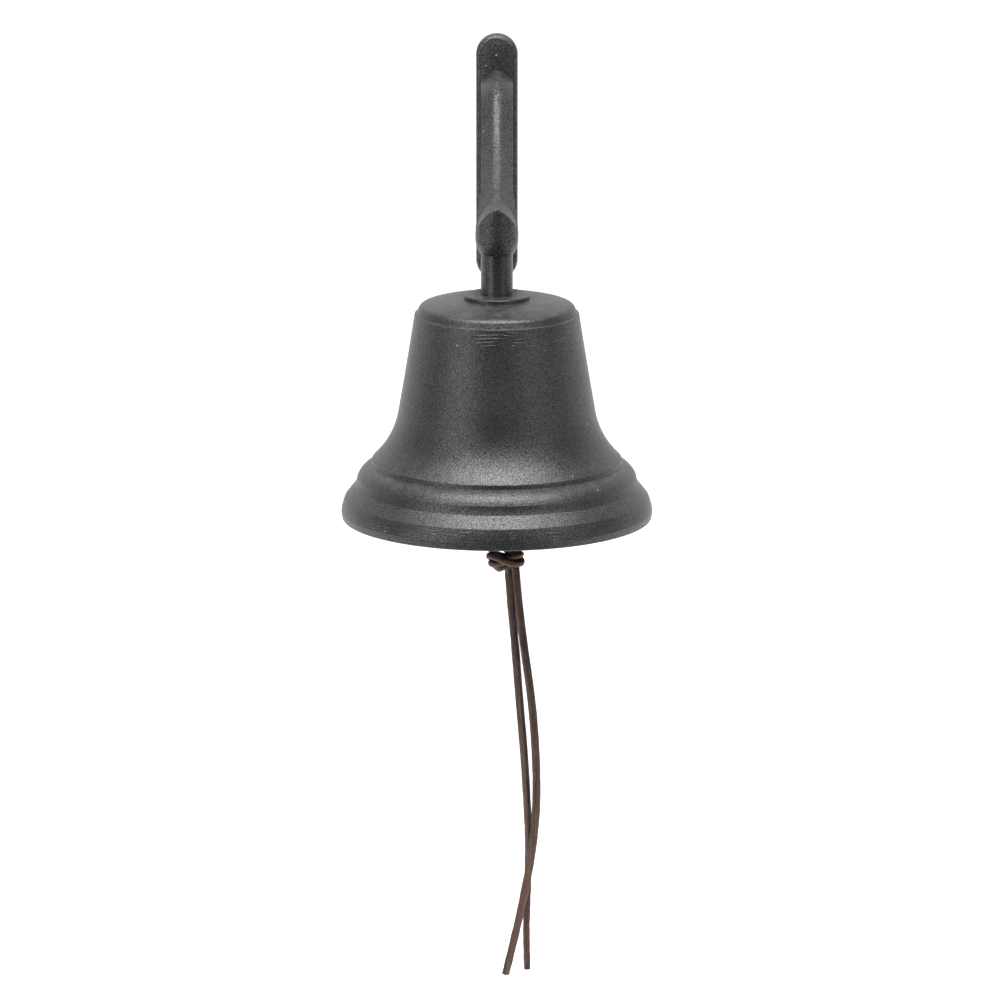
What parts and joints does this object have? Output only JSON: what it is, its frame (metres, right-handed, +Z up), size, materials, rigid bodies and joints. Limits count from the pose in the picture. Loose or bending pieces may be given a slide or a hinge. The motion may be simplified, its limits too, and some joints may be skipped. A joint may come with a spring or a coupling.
{
  "type": "wall-mounted dinner bell",
  "caption": "Black cast bell hung by its crown from an S-curved wall bracket, with a swinging clapper and a knotted leather lace for ringing it by hand.",
  "frame": {"origin": "centre of the wall plate's flat back face", "axes": "+Z up along the plate, +Y into the wall, the bell hangs towards -Y"},
  "size_m": [0.1524, 0.1602, 0.4583],
  "materials": {
    "black_casting": "black powder coat with fine orange peel",
    "black_steel": "black powder coat on turned steel",
    "zinc_steel": "dull zinc plating",
    "clapper_iron": "dark cast surface",
    "lace_leather": "worn dark brown leather lace"
  },
  "bodies": {
    "bell_on_bracket": {"wall_bracket": "black_casting", "hanger_post": "black_steel", "crown_washer": "black_steel", "bell": "black_casting", "inner_washer": "zinc_steel", "lock_washer": "zinc_steel", "eye_bolt": "zinc_steel"},
    "link": {"clapper_link": "zinc_steel"},
    "clapper": {"clapper_rod": "clapper_iron", "clapper_ball": "clapper_iron"},
    "lanyard": {"lanyard_loop": "lace_leather", "lanyard_knot": "lace_leather", "lanyard_tail_left": "lace_leather", "lanyard_tail_right": "lace_leather"}
  },
  "joints": [
    {"name": "link_sway", "type": "hinge", "parent": "bell_on_bracket", "child": "link", "pos_m": [0, -0.084, -0.0807], "axis": [0, 1, 0], "range_deg": [-6, 6]},
    {"name": "clapper_swing", "type": "hinge", "parent": "link", "child": "clapper", "pos_m": [0, -0.084, -0.09115], "axis": [-1, 0, 0], "range_deg": [-36, 36]},
    {"name": "lanyard_hang", "type": "hinge", "parent": "clapper", "child": "lanyard", "pos_m": [0, -0.084, -0.1747], "axis": [-1, 0, 0], "range_deg": [-36, 36]}
  ],
  "couplings": [
    {"joint": "lanyard_hang", "follows": "clapper_swing", "ratio": -1}
  ]
}
